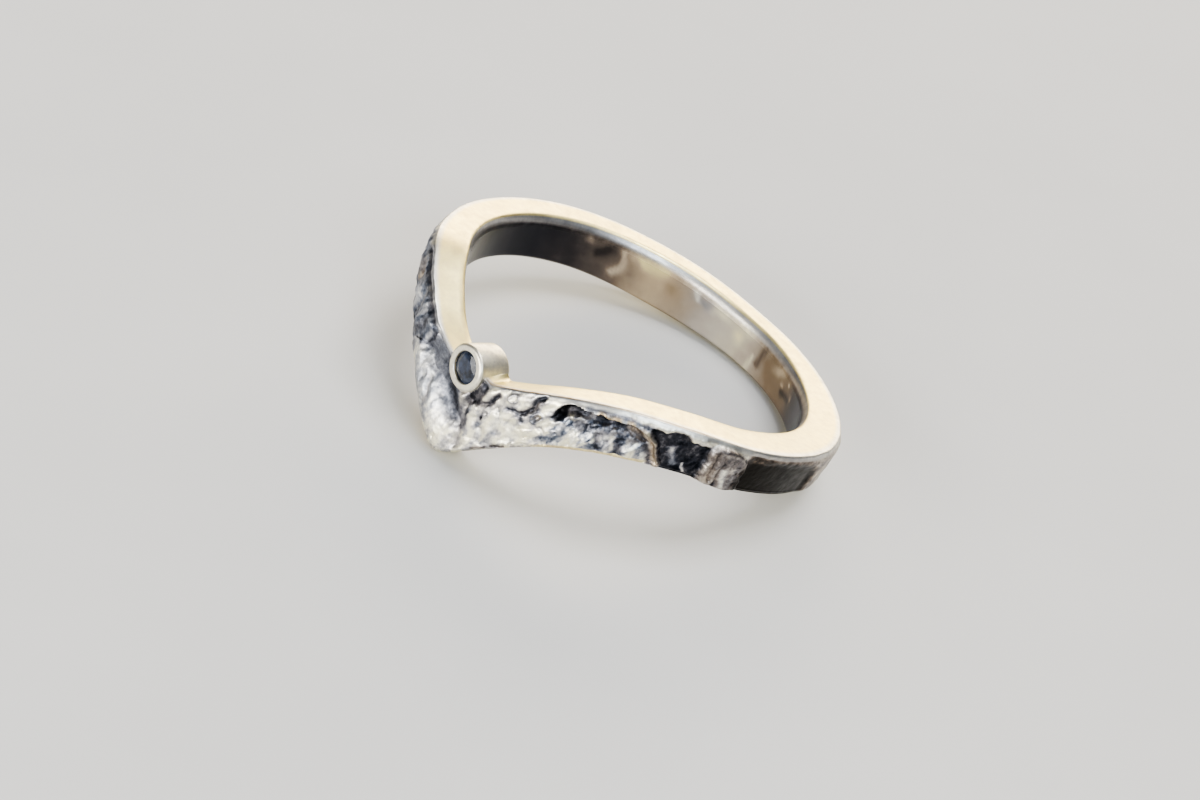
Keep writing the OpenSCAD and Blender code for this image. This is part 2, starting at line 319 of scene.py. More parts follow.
def ridged(a, z, **grain_of):
    """Noise with narrow crests, like crumpled foil, about -1 to 1."""
    return 1 - CREST_HEIGHT * np.sqrt(field(a, z, **grain_of) ** 2 + CREST_SOFTNESS)


# Lines and outlines on the map, as (angle, drop)
LIP = [
    (26.4, 1.15), (26.9, 0.72), (27.7, 0.42), (29.3, 0.25), (31.5, 0.24), (33.4, 0.34), (36, 0.4),
    (39, 0.47), (42.5, 0.54), (45.5, 0.52), (48, 0.62), (50.2, 0.84), (52, 1.14), (53.6, 1.58),
    (55, 2), (55.8, 2.4),
]
RIB = [(46.6, 0.58), (48.8, 0.72), (50.6, 0.98), (52, 1.3), (53.4, 1.72), (54.8, 2.2), (55.3, 2.4)]
RIB_FOOT = [(45.5, 1.05), (48.8, 1.24), (50.8, 1.5), (52.6, 1.9), (53.9, 2.35)]
FLAT_EDGE = [(49.6, 0.5), (51.6, 0.8), (53.3, 1.25), (54.9, 1.75), (56.8, 2.5)]
DARK_FLAT = [
    (50.2, 0.44), (53.4, 0.46), (55.4, 0.3), (58.6, 0.28), (60.6, 0.48), (63.4, 0.56), (65.6, 0.56),
    (65.8, 1.4), (66.2, 2.6), (57.2, 2.6), (54.8, 1.7), (52.4, 1),
]
BLOCK = [
    (66.3, 0.55), (67.6, 0.24), (71.5, 0.25), (74.5, 0.4), (76.6, 0.62), (77.4, 1.3), (77.2, 2.6),
    (66.4, 2.6), (66, 1.4),
]
SMOOTH_FACET = [(77.6, 0.38), (84, 0.36), (94, 0.42), (104, 0.7), (106, 1.6), (102, 2.8), (78.4, 2.8)]
FACET_END_SHADOW = [(90, 0.2), (108, 0.25), (122, 0.9), (115, 1.5), (120, 2.5), (90, 2.9)]
TROUGH = [
    (-14.6, 0.15), (-10.5, 0), (-6.2, 0.05), (-3, 0.65), (0.8, 1.05), (3.4, 1.5), (4.4, 2.05),
    (2.6, 2.25), (-2.5, 2.05), (-7, 1.7), (-12, 1.45), (-16.5, 1.2),
]
TROUGH_PAINTED_SHADE = [
    (-7.5, 0.2), (-4, 0.65), (-0.5, 0.95), (1.2, 1.3), (3.6, 1.85), (1.2, 1.8), (-2.6, 1.35),
    (-6.5, 0.85),
]
TROUGH_FOOT = [(-6, 0.2), (-4, 0.7), (-1, 1.1), (2, 1.6), (4.4, 2.1)]
CREASE = [(3.2, 0.85), (3.7, 1.35), (4.4, 1.85), (5, 2.4), (5.5, 2.95), (6.1, 3.5)]
RECESS = [
    (4.4, 0.35), (3.4, 0.85), (3.1, 1.15), (3.7, 1.4), (5.2, 1.12), (7.4, 0.92), (8.3, 0.62), (8.4, 0.2),
    (7, 0.02), (5.6, 0.05),
]
WAVY_GROOVE = [(4.6, 1.12), (6.6, 0.97), (9.2, 0.95), (10.8, 0.82), (11.5, 0.52), (12.4, 0.28)]
HOOK = [
    (23.8, 0.22), (22.5, 0.22), (21.7, 0.44), (21.7, 0.7), (20.6, 0.88), (19.6, 1.04), (19.4, 1.26),
]
HOOK_TAIL = [(14.3, 0.9), (16.1, 0.99), (17.7, 1.03), (19.1, 1.26), (20.8, 1.6)]
UNDERCUT = [
    (26.8, 1), (27.3, 0.55), (28.6, 0.3), (31.4, 0.27), (33.4, 0.37), (37, 0.56), (42.5, 0.64),
    (46, 0.7), (48.8, 0.98), (50, 1.25), (44, 1), (37, 0.95), (33.5, 0.84), (30.5, 0.74),
    (28.2, 1.1),
]
UNDERCUT_FOOT_SHADOW = [(31.5, 1), (34.5, 1.04), (38.5, 1.08), (43, 1.14), (48.5, 1.26)]
UNDER_LIP = [
    (33.5, 0.18), (40, 0.22), (46, 0.26), (52, 0.4), (50, 0.62), (42, 0.56), (36, 0.44), (33.6, 0.36),
]
MOTTLED = [(27.5, 0.95), (34, 0.95), (44, 1.05), (50.5, 1.35), (54, 2.5), (28, 2.8)]
CRAGS = [
    (-15, 0.15), (-15.5, 0.6), (-17.5, 1.05), (-19, 1.35), (-21, 1.75), (-23.5, 2.2), (-26, 2.75),
    (-60, 2.6), (-64, 1.9), (-59, 1.4), (-63, 0.8), (-58, 0.28), (-40, 0.25), (-30, 0.25),
    (-20, 0.2),
]
CRAGS_END = [(-50, 0.1), (-68, 0.2), (-80, 0.9), (-72, 1.6), (-78, 2.4), (-50, 2.8)]
CRAG_EDGE = [(-14.4, 0.05), (-14.8, 0.55), (-16.8, 1.05), (-18.6, 1.36), (-20.6, 1.62), (-23.5, 2.1)]
CRAG_TOP = [(-40.5, 0.3), (-36, 0.14), (-31, 0.24), (-27, 0.12), (-22.5, 0.2), (-18, 0.16), (-15, 0.24)]
BLOCK_GROOVE = [(67.9, 0.35), (67.9, 1.2), (68.4, 2.15)]
RIDGE_CUT = [(-10.4, 1.55), (-9.8, 1.95), (-8.6, 2.3), (-8.3, 2.6), (-9.6, 2.95)]

# Forms of the cast face by kind, as place, sizes and height, which is negative for a hollow
GROOVES = [
    (CREASE, 0.26, -0.11),
    (CRAG_TOP, 0.16, -0.1),
    (WAVY_GROOVE, 0.14, -0.09),
    (HOOK_TAIL, 0.1, -0.06),
    (HOOK, 0.15, -0.13),
    (RIB, 0.14, 0.13),
    (RIDGE_CUT, 0.16, -0.07),
    ([(-11.6, 1.75), (-12.6, 2.1), (-12.8, 2.45)], 0.1, -0.05),
    ([(-5.8, 3.05), (-6.3, 3.35)], 0.08, -0.06),
    ([(-0.6, 3.15), (-1.2, 3.45)], 0.07, -0.05),
    ([(24.4, 1.55), (26, 1.82), (27, 2.2), (28, 2.55)], 0.08, -0.07),
    ([(12.6, 0.85), (13.8, 1.3), (14.6, 1.8), (15, 2.3)], 0.09, -0.05),
    ([(10.4, 2.05), (11.6, 2.55), (11.4, 3)], 0.14, -0.08),
    ([(14.8, 2.98), (16.6, 2.92), (18.6, 2.84)], 0.08, -0.12),
    ([(35.4, 1), (36, 1.4)], 0.12, -0.08),
    ([(38.2, 1.3), (39, 1.7), (39.8, 2.2)], 0.11, -0.08),
    ([(43.8, 1.35), (44.2, 1.8), (45, 2.25)], 0.2, -0.09),
    (BLOCK_GROOVE, 0.09, -0.09),
    ([(69.8, 0.5), (70.2, 1.2), (69.9, 1.8), (70.6, 2.2)], 0.12, -0.1),
    ([(56.4, 0.9), (57.4, 1.4), (58.6, 1.95)], 0.12, 0.05),
    ([(8.2, 1.5), (9, 2.2), (9.4, 2.9)], 0.3, -0.06),
    ([(13.4, 1.2), (12.4, 2), (12, 2.8)], 0.34, 0.05),
    ([(17.2, 1.4), (18.2, 2.1), (18.8, 2.7)], 0.28, -0.06),
    ([(25.6, 0.8), (26, 1.5), (26, 2.2)], 0.26, 0.05),
    ([(21.4, 1.8), (22.4, 2.6)], 0.24, 0.05),
]
HILLS = [
    ((-3, 1.25), 1.3, 0.55, 34, -0.1),
    ((-14.5, 2.2), 2.2, 0.8, 24, 0.24),
    ((-17, 1.55), 0.55, 0.4, 30, 0.06),
    ((-13, 1.95), 0.35, 0.25, 60, -0.05),
    ((-3, 3.15), 1.4, 0.8, 24, 0.14),
    ((2.1, 1), 0.3, 0.42, 0, 0.08),
    ((-24, 1.35), 0.35, 0.75, 25, 0.15),
    ((-29, 1.1), 0.28, 0.7, 25, -0.22),
    ((-33, 1.45), 0.4, 0.8, 25, 0.15),
    ((-37.5, 1), 0.3, 0.7, 25, -0.2),
    ((-43, 1.3), 0.6, 0.8, 10, 0.12),
    ((31.8, 0.86), 0.3, 0.13, 0, 0.16),
    ((40, 1.85), 1.9, 0.42, 3, 0.1),
    ((47.5, 1.8), 0.45, 0.5, 20, 0.08),
    ((72.5, 2.25), 0.75, 0.35, 0, 0.1),
    ((69.2, 1.3), 0.28, 0.9, 6, 0.06),
]
FLATS = [
    (TROUGH, 0.95, -0.26),
    (RECESS, 0.36, -0.15),
    (UNDERCUT, 0.24, -0.12),
    (DARK_FLAT, 0.2, -0.2),
    (BLOCK, 0.16, 0.18),
    (SMOOTH_FACET, 0.6, -0.16),
]
LEDGES = [(CRAG_EDGE, 0.06, 0.45, 0.04, 0.3), (LIP, 0.36, 0.55, 0.05, 0.1)]
CRATERS = [
    ((15.9, 0.43), 0.18, 0.015, 0.03),
    ((23.3, 1.2), 0.21, 0.14, 0.04),
    ((7.6, 1.2), 0.07, 0.06, 0.01),
    ((9.7, 1.64), 0.09, 0.08, 0.01),
    ((10.5, 1.4), 0.14, 0.03, 0.02),
    ((22.7, 2.2), 0.08, 0.05, 0.01),
    ((28.9, 1.76), 0.09, 0.06, 0.01),
    ((19.8, 2.7), 0.1, 0.06, 0.03),
]

# Tone of the cast face, painted shade, shadow, highlights and reflections among it where marked, laid on in
# this order: the kind of shape, its line or place, its sizes, the tone, 0 bright and 1 black to the eye, the
# warmth, -1 slate and 1 brown, and the grit
PAINT = [
    (spot, (-11, 2.1), (2.6, 1.4), 0.3, -0.9, 0.07),
    (area, CRAGS_END, 2.2, 0.34, -0.6, 0.2),
    (area, CRAGS, 0.35, 0.58, -0.9, 0.16),
    # Painted shade in the trough beside the tube, darkest next to it and below it
    (area, TROUGH, 0.9, 0.54, -0.8, 0.02),
    (stroke, TROUGH_FOOT, 0.55, 0.64, -0.8, 0.02),
    (area, TROUGH_PAINTED_SHADE, 0.5, 0.74, -0.7, 0.02),
    (spot, (2.1, 1.05), (0.32, 0.52), 0.08, -0.1, 0.05),
    # Painted shade in the recess and the narrow crevice right of the tube
    (area, RECESS, 0.3, 0.72, -0.5, 0.12),
    (spot, (4.4, 0.95), (0.16, 0.45), 0.9, -0.4, 0.05),
    (stroke, CREASE, 0.26, 0.34, -0.4, 0.1),
    (spot, (5.2, 1.6), (0.26, 0.22), 0.46, -0.4, 0.45),
    # Painted shadow along the wavy groove and the hook
    (stroke, WAVY_GROOVE, 0.18, 0.74, -0.5, 0.12),
    (stroke, HOOK_TAIL, 0.11, 0.66, -0.6, 0.1),
    (stroke, HOOK, 0.17, 0.8, -0.6, 0.1),
    (stroke, [(23.4, 0.3), (22.8, 0.6), (22.4, 0.85)], 0.14, 0.6, -0.4, 0.2),
    (spot, (23.1, 1.16), (0.26, 0.28), 0.3, -0.2, 0.5),
    (stroke, [(10, 1.8), (10.6, 2.4), (11.8, 3)], 0.3, 0.26, -0.55, 0.25),
    (stroke, [(13.2, 1), (14.2, 1.7), (14, 2.4)], 0.22, 0.22, -0.55, 0.2),
    (stroke, [(17.6, 1.5), (18.4, 2.2), (18.6, 2.7)], 0.18, 0.2, -0.5, 0.2),
    (stroke, [(24.6, 1.5), (26.4, 2), (27.6, 2.6)], 0.12, 0.36, -0.55, 0.1),
    (stroke, [(14.6, 2.98), (16.8, 2.92), (18.8, 2.84)], 0.07, 0.58, -0.1, 0.1),
    (stroke, [(10, 3.22), (12.4, 3.1), (14.4, 3)], 0.06, 0.42, 0.1, 0.2),
    (circle, (15.9, 0.43), (0.18, 1, 0.05), 0.46, -0.5, 0.1),
    (circle, (23.1, 1.16), (0.22, 1.2, 0.05), 0.5, -0.5, 0.3),
    (circle, (10.3, 1.4), (0.13, 1, 0.04), 0.4, -0.5, 0.1),
    (circle, (9.7, 1.66), (0.05, 1.6, 0.05), 0.62, -0.5, 0.1),
    (stroke, RIDGE_CUT, 0.12, 0.34, -0.5, 0.1),
    (stroke, CRAG_TOP, 0.12, 0.58, -0.5, 0.1),
    (stroke, [(-15.2, 0.12), (-15.6, 0.6), (-17, 1.1), (-19.5, 1.5)], 0.16, 0.68, -0.7, 0.05),
    (stroke, [(-19, 0.3), (-20.6, 0.9), (-23, 1.6), (-28, 2.5)], 0.18, 0.66, -0.7, 0.05),
    (stroke, [(-24.5, 0.4), (-27, 1.1), (-31, 2.2)], 0.2, 0.62, -0.7, 0.05),
    (stroke, [(-31, 0.3), (-34, 0.9), (-37.5, 1.6)], 0.2, 0.62, -0.6, 0.05),
    (stroke, [(-38, 0.4), (-40.5, 1.2), (-43, 2)], 0.2, 0.62, -0.4, 0.05),
    (stroke, [(-16.4, 0.4), (-17, 0.8), (-18.2, 1.15)], 0.09, 0.26, -0.7, 0.05),
    (stroke, [(-22.3, 0.4), (-23.6, 0.9), (-25.2, 1.4)], 0.14, 0.42, -0.8, 0.1),
    (stroke, [(-27.4, 0.6), (-30, 1.2), (-35, 2.2)], 0.24, 0.3, -0.8, 0.1),
    # Painted warm reflection on the left crags
    (stroke, [(-35.5, 0.5), (-38, 1.2), (-41, 2)], 0.2, 0.34, 0.3, 0.1),
    (stroke, [(-19.5, 1.9), (-22.5, 2.3), (-24.5, 2.6)], 0.12, 0.34, -0.5, 0.1),
    (area, UNDER_LIP, 0.14, 0.48, -0.7, 0.2),
    (area, MOTTLED, 0.5, 0.18, -0.5, 0.5),
    # Painted shadow under the overhanging lip and below the undercut
    (area, UNDERCUT, 0.26, 0.86, -0.4, 0.1),
    (stroke, UNDERCUT_FOOT_SHADOW, 0.34, 0.66, -0.65, 0.16),
    (spot, (46.8, 0.88), (0.5, 0.22), 0.58, 0.3, 0.1),
    (spot, (31.6, 0.86), (0.3, 0.15), 0.04, -0.1, 0.45),
    (stroke, [(36.2, 0.39), (39, 0.44), (42.6, 0.47)], 0.1, 0.3, 1, 0.05),
    (stroke, [(43.4, 0.42), (46, 0.5)], 0.09, 0.48, 0.8, 0.2),
    (stroke, [(32, 1.04), (34, 1.26), (35.8, 1.46)], 0.24, 0.64, -0.7, 0.2),
    (stroke, [(38.6, 1.2), (39.2, 1.7), (40.2, 2.2)], 0.18, 0.6, -0.6, 0.14),
    (stroke, [(41, 1.5), (42.2, 2.1)], 0.1, 0.44, -0.6, 0.1),
    (stroke, [(43.6, 1.4), (44.4, 1.8), (45.2, 2.2)], 0.28, 0.66, -0.6, 0.14),
    (spot, (47.6, 1.95), (0.4, 0.3), 0.1, -0.4, 0.3),
    (stroke, [(28.8, 1.1), (29.6, 1.6), (31, 2.1)], 0.1, 0.3, -0.6, 0.1),
    (stroke, RIB_FOOT, 0.2, 0.68, -0.5, 0.1),
    (area, DARK_FLAT, 0.16, 0.84, -0.6, 0.16),
    (stroke, FLAT_EDGE, 0.2, 0.84, -0.6, 0.16),
    (stroke, RIB, 0.15, 0.38, 0.5, 0.06),
    # Painted highlight along a facet of the dark flat, then a painted glint
    (stroke, [(56.3, 0.95), (57.6, 1.4), (59.2, 2)], 0.18, 0.46, -0.7, 0.15),
    (stroke, [(60.8, 1.65), (61.5, 1.9), (62.1, 2.12)], 0.07, 0.08, -0.4, 0.05),
    (stroke, [(62.2, 0.6), (63.2, 1.15)], 0.1, 0.66, -0.5, 0.1),
    (area, BLOCK, 0.12, 0.53, -0.15, 0.12),
    (stroke, [(67, 0.5), (67.2, 1.3), (67.6, 2.2)], 0.2, 0.56, 0.15, 0.1),
    (stroke, BLOCK_GROOVE, 0.09, 0.58, 0.05, 0.1),
    (stroke, [(69.8, 0.6), (70.2, 1.4), (70.4, 2.1)], 0.16, 0.54, -0.05, 0.1),
    # Painted highlight streak on the block
    (stroke, [(70.9, 1.1), (71.6, 1.6), (72.6, 2.15)], 0.14, 0.12, -0.5, 0.1),
    (stroke, [(73.6, 0.9), (74.4, 1.5), (75, 2.1)], 0.22, 0.3, -0.15, 0.2),
    (spot, (74.4, 1.25), (0.1, 0.12), 0.66, 0.1, 0.1),
    # Painted shadow and dark reflection over the end of the right arm and its smooth facet
    (area, FACET_END_SHADOW, 2.4, 0.52, 0.1, 0.2),
    (area, SMOOTH_FACET, 0.9, 1.15, 0.5, 0.02),
    (stroke, [(77, 0.45), (81, 0.5), (87, 0.48)], 0.18, 0.74, 0.4, 0.06),
]
# Painted reflections and highlights on the polished wall of the finger hole, dark along the arms and bright,
# warm and gold round the back, with angles from 0 at the tip back to -360: its ground as angle, tone and
# warmth, then the shapes laid on it as above but without grit
WALL_REFLECTION_GROUND = np.array([
    (-262, 0.8, 0.2), (-226, 0.84, 0.2), (-212, 0.74, 0.4), (-203, 0.56, 0.75), (-192, 0.5, 0.7),
    (-184, 0.34, 0.4), (-176, 0.18, 0.25), (-166, 0.22, 0), (-158, 0.3, 0.1), (-150, 0.36, 0.6),
    (-140, 0.26, 0.9), (-132, 0.4, 0.6), (-125, 0.62, 0.2), (-114, 0.72, 0), (-98, 0.85, -0.4),
    (-60, 0.88, -0.45), (-20, 0.5, -0.3), (0, 0.14, 0),
])
WALL_REFLECTIONS = [
    (spot, (-116.5, 0.62), (0.4, 0.26), 0.42, 0.3),
    (spot, (-122, 0.95), (0.55, 0.32), 0.8, 0),
    (stroke, [(-127.5, 0.5), (-128.4, 1), (-129, 1.5), (-125, 2.1)], 0.24, 0.22, 0.6),
    (spot, (-136, 0.62), (0.8, 0.3), 0, 1),
    (spot, (-141, 0.8), (0.9, 0.34), 0.06, 1),
    (spot, (-147, 1.25), (0.6, 0.5), 0.42, 0.8),
    (spot, (-160, 0.8), (0.7, 0.22), 0.44, -0.7),
    (stroke, [(-155.5, 0.35), (-156.5, 0.8), (-157, 1.1)], 0.12, 0.06, -0.6),
    (spot, (-166, 0.75), (0.9, 0.26), 0.06, 0.1),
    (spot, (-174, 1.15), (0.42, 0.34), 0, 0.6),
    (spot, (-177, 0.6), (0.7, 0.26), 0.1, 0.2),
    (stroke, [(-183, 1.2), (-181.5, 2.3)], 0.16, 0.06, 0.3),
    (stroke, [(-187, 0.45), (-186, 1.1), (-185, 1.7)], 0.22, 0.62, 0.4),
    (spot, (-197, 0.8), (0.6, 0.24), 0.3, 0.9),
    (spot, (-200, 1.25), (0.16, 0.12), 0.12, 1),
    (spot, (-204, 0.85), (0.16, 0.12), 0.16, 1),
    (stroke, [(-199, 1.55), (-204, 1.4), (-209, 1.3)], 0.16, 0.76, 0.6),
    (spot, (-209, 1), (0.13, 0.16), 0.12, 1),
]
# Tones beyond 1, as in the painted shadow on the smooth facet, stay black under the material's own patches
DARKEST = 1.2
# Tone, warmth and grit of the cast face where nothing is painted on it
PLAIN_FACE = (0.08, -0.2, 0.24)
# No grit on the filed bevel of the right arm, from these angles on and down to these drops
CLEAN_FROM, CLEAN_DROP = (20, 30), (0.3, 0.48)
# Share of the grit that is taken off at the back, from these angles on
BACK_FROM, BACK_CALM = (95, 120), 0.55
# How the face is softened, how far from its softened self it is low and high, what that does to the tone,
# painted shade in the low places and brighter crests, and the grit at which it starts to show
SOFT_ROUNDS, SOFT_STEPS = 6, ((3, 0), (-3, 0), (2, 1), (-2, 1))
LOW_PLACES, HIGH_PLACES = (0.01, 0.09), (0.00, 0.05)
LOW_PAINTED_SHADE, HIGH_BRIGHTENS, SHOWS_AT = 0.2, 0.25, (0.02, 0.12)
# Noise that makes a patch and a fleck, the middle of both, and what they do to the tone and the warmth at
# full grit
PATCH_RANGE, FLECK_RANGE, MIDDLE = (-0.25, 0.3), (-0.2, 0.25), 0.45
PATCH_TONE, FLECK_TONE = 1.3, 0.55
GROUND_WARMS, PATCH_COOLS, FLECK_COOLS = 0.8, 1.4, 0.8
# Filed bevel below the rim, painted cool grey and darker between some angles as a painted reflection, and
# the drops over which the cast face takes over
FILED_TONE, FILED_DARKER, FILED_WARMTH = 0.1, 0.16, -0.8
FILED_DARK, FILED_ENDS = (2, 8, 28, 42), (0.17, 0.25)
# Foot of the right arm, painted bright and warm between these angles
BRIGHT_FOOT_ANGLES, BRIGHT_FOOT_TONE, BRIGHT_FOOT_WARMTH = (23, 28, 50, 54), 0.12, 0.9
# Rim, painted warm cream for the warm light it reflects, bevel round the mouth of the hole, painted cool grey
# for the cool light it reflects, and the broken brown line along the rim of the right arm
RIM_TONE, RIM_PAINTED_WARMTH = 0.04, 1.00
MOUTH_TONE, MOUTH_WARMTH, MOUTH_ENDS = 0.22, -0.6, (0.24, 0.5)
RIM_LINE_TONE, RIM_LINE_ANGLES, RIM_LINE_BREAKS = 0.42, (3, 8, 62, 84), 0.45
RIM_LINE_ROWS = slice(1, 3)

# Coarseness of plain casting with its least and greatest, and what each place adds to it
PLAIN_COARSENESS, LEAST_COARSE, MOST_COARSE = 0.7, 0.08, 2.0
COARSENESS = [
    (area, TROUGH, 0.9, -0.66),
    (spot, (-9, 2.4), (2.8, 1.2, 18), -0.45),
    (area, CRAGS, 0.5, 0.9),
    (area, MOTTLED, 0.5, 0.6),
    (area, BLOCK, 0.4, 0.6),
    (area, DARK_FLAT, 0.3, -0.4),
    (area, SMOOTH_FACET, 0.6, -0.62),
]
# Heights of the casting's grain, and the share of its finest that calm places keep
LUMP_HEIGHT, FOLD_HEIGHT, FINE_HEIGHT = 0.058, 0.018, 0.011
FINE_SHARE = 0.4

# Where the bevel along the rim is filed, and the shares of the relief that its rows take, filed and as cast,
# and that the rows at the foot take
FILED_RIGHT, FILED_LEFT, FILED_BACK = (20, 30, 100, 115), (60, 75, 165, 180), 165
FILED_TAKES, CAST_TAKES = (0.05, 0.6), (0.15, 1.00)
FOOT_TAKES, UNDER_TAKES = 0.9, (0.7, 0.6, 0.4)
# Distances from the side of the tube over which the cast face starts
TUBE_CLEARS = (0.02, 0.24)


def relief(x, y):
    """Height of the modelled forms of the cast face."""
    h = np.zeros(x.shape)
    for mask, table in ((area, FLATS), (spot, HILLS), (stroke, GROOVES)):
        for *shape, rise in table:
            h += rise * mask(x, y, *shape)
    for form, table in ((ledge, LEDGES), (crater, CRATERS)):
        for shape in table:
            h += form(x, y, *shape)
    return h


def rough_share(x, y):
    """How coarse the casting is."""
    share = np.full(x.shape, PLAIN_COARSENESS)
    for mask, shape, sizes, more in COARSENESS:
        share += more * mask(x, y, shape, *np.atleast_1d(sizes))
    return np.clip(share, LEAST_COARSE, MOST_COARSE)


def grain(a, z, x, y):
    """Roughness of the casting: soft lumps, folds like crumpled foil and a fine grain."""
    share = rough_share(x, y)
    coarse = LUMP_HEIGHT * field(a, z, **LUMPS) + FOLD_HEIGHT * ridged(a, z, **FOLDS)
    fine_share = FINE_SHARE + (1 - FINE_SHARE) * share
    return share * coarse + fine_share * FINE_HEIGHT * field(a, z, **FINE_GRAIN)


def painted(x, y, table, *ground):
    """The ground's tone, warmth and grit with every row of a table laid on it."""
    for mask, shape, sizes, *laid in table:
        cover = mask(x, y, shape, *np.atleast_1d(sizes))
        ground = [below + cover * (above - below) for below, above in zip(ground, laid)]
    return ground


def section_angles():
    start, end = DETAILED
    fine = np.arange(start, end, FINE_STEP)
    rest = 360 - (end - start)
    count = round(rest / PLAIN_STEP)
    plain = end + np.arange(count) * rest / count
    a = np.concatenate([fine, plain])
    return np.where(a > 180, a - 360, a)


def turned_corner(before, corner, after, radius, steps):
    """Points that round a corner of the section off."""
    def towards(other):
        gap = other - corner
        length = np.linalg.norm(gap, axis=-1, keepdims=True)
        return corner + gap * np.minimum(radius / length, MOST_OF_SIDE)

    first, last = towards(before), towards(after)
    return [
        first * (1 - t) ** 2 + corner * 2 * t * (1 - t) + last * t * t for t in np.arange(steps + 1) / steps
    ]


def sections(a, top):
    """Rows of points of the band's sections, as (radius, height), and the side that each row is on."""
    foot = top - width(a)
    ease = FRONT_EASE * (1 - smooth(np.abs(a), EASE_ANGLE - 1, EASE_ANGLE + 1))
    wall = HOLE_R + ease

    def at(r, z):
        return np.stack([r, z], axis=-1)

    corners = {
        "wall": at(wall, foot + FOOT_BEVEL),
        "mouth": at(wall, top - MOUTH_BEVEL[1]),
        "rim": at(HOLE_R + MOUTH_BEVEL[0] + 0 * a, top),
        "edge": at(rim_out(a), top),
        "face": at(rim_out(a) + EDGE_BEVEL[0], top - EDGE_BEVEL[1]),
        "foot_out": at(foot_out(a), foot + FOOT_BEVEL),
        "under": at(foot_out(a) - FOOT_BEVEL, foot),
        "foot_in": at(HOLE_R + FOOT_BEVEL + 0 * a, foot),
    }
    names = list(corners)
    rows, sides = [], []
    for i, name in enumerate(names):
        next_name, beyond = names[(i + 1) % len(names)], names[(i + 2) % len(names)]
        here, after = corners[name], corners[next_name]
        between_corners, *bend = SIDES[name]
        turn = turned_corner(corners[names[i - 1]], here, after, *bend)
        next_turn = turned_corner(here, after, corners[beyond], *SIDES[next_name][1:])
        rows += turn
        sides += [name] * len(turn)
        for t in (np.arange(between_corners) + 1) / (between_corners + 1):
            rows.append(turn[-1] * (1 - t) + next_turn[0] * t)
            sides.append(name)
    return np.stack(rows, axis=1), np.array(sides)


def relief_share(a, sides):
    """Share of the cast relief that each row of each section takes, little on a filed bevel."""
    share = np.zeros((len(a), len(sides)))
    share[:, sides == "face"] = 1
    share[:, sides == "foot_out"] = FOOT_TAKES
    share[:, np.flatnonzero(sides == "under")[:len(UNDER_TAKES)]] = UNDER_TAKES
    rows = (sides == "edge").sum()
    filed = between(a, *FILED_RIGHT) + between(-a, *FILED_LEFT)
    filed = np.maximum(filed, (np.abs(a) > FILED_BACK))[:, None]
    as_filed, as_cast = np.linspace(*FILED_TAKES, rows), np.linspace(*CAST_TAKES, rows)
    share[:, sides == "edge"] = filed * as_filed + (1 - filed) * as_cast
    return share


def draw_up_solder(rz, a, top, sides):
    """Lifts the rim and the top of the face beside the tube, less so on its left."""
    beside = np.abs(a * PER_DEGREE + TUBE_SHIFT / 2) - TUBE_R + FILLET_IN
    share = np.where(a > 0, 1.0, FILLET_LEFT)
    rise = FILLET_RISE * (1 - smooth(beside, 0, FILLET_REACH * share)) ** FILLET_CURVE * share
    upper = np.isin(sides, ["mouth", "rim", "edge"])
    out = smooth(rz[:, upper, 0], HOLE_R, HOLE_R + FILLET_ACROSS)
    rz[:, upper, 1] += rise[:, None] * (1 - FILLET_FALL * out)
    face = sides == "face"
    keeps = 1 - smooth(top[:, None] - rz[:, face, 1], *FILLET_DROP)
    rz[:, face, 1] += (1 - FILLET_FALL) * rise[:, None] * keeps


def face_tone(angle, height, drop, x, y, cast, share, sides):
    """Tone and warmth of the cast face: as painted, with painted shade in low places and brighter crests."""
    tone, warmth, grit = painted(x, y, PAINT, *PLAIN_FACE)
    grit = grit * (1 - smooth(angle, *CLEAN_FROM) * (1 - smooth(drop, *CLEAN_DROP)))
    grit = grit * (1 - BACK_CALM * smooth(np.abs(angle), *BACK_FROM))
    soft = cast.copy()
    for _ in range(SOFT_ROUNDS):
        beside = sum(np.roll(soft, step, axis) for step, axis in SOFT_STEPS)
        soft = (soft + beside) / (1 + len(SOFT_STEPS))
    low, high = smooth(soft - cast, *LOW_PLACES), smooth(cast - soft, *HIGH_PLACES)
    shows = smooth(grit, *SHOWS_AT)
    # Painted shade in the low places of the relief, and brighter crests
    tone = tone + shows * (LOW_PAINTED_SHADE * low * (1 - tone) - HIGH_BRIGHTENS * high * tone)
    patches = smooth(field(angle, height, **PATCHES), *PATCH_RANGE)
    flecks = smooth(field(angle, height, **FLECKS), *FLECK_RANGE)
    tone = tone + grit * (PATCH_TONE * (patches - MIDDLE) + FLECK_TONE * (flecks - MIDDLE))
    warmth = np.clip(warmth + grit * (GROUND_WARMS - PATCH_COOLS * patches - FLECK_COOLS * flecks), -1, 1)
    cover = np.where(sides == "edge", np.maximum(share, smooth(drop, *FILED_ENDS)), 1.0)
    # Filed bevel painted cool grey and darker between some angles, a painted reflection
    filed = FILED_TONE + FILED_DARKER * between(angle, *FILED_DARK)
    tone = np.clip(filed + cover * (tone - filed), 0, DARKEST)
    warmth = FILED_WARMTH + cover * (warmth - FILED_WARMTH)
    bright_foot = np.isin(sides, ["foot_out", "under"]) * between(angle, *BRIGHT_FOOT_ANGLES)
    return tone + bright_foot * (BRIGHT_FOOT_TONE - tone), warmth + bright_foot * (BRIGHT_FOOT_WARMTH - warmth)


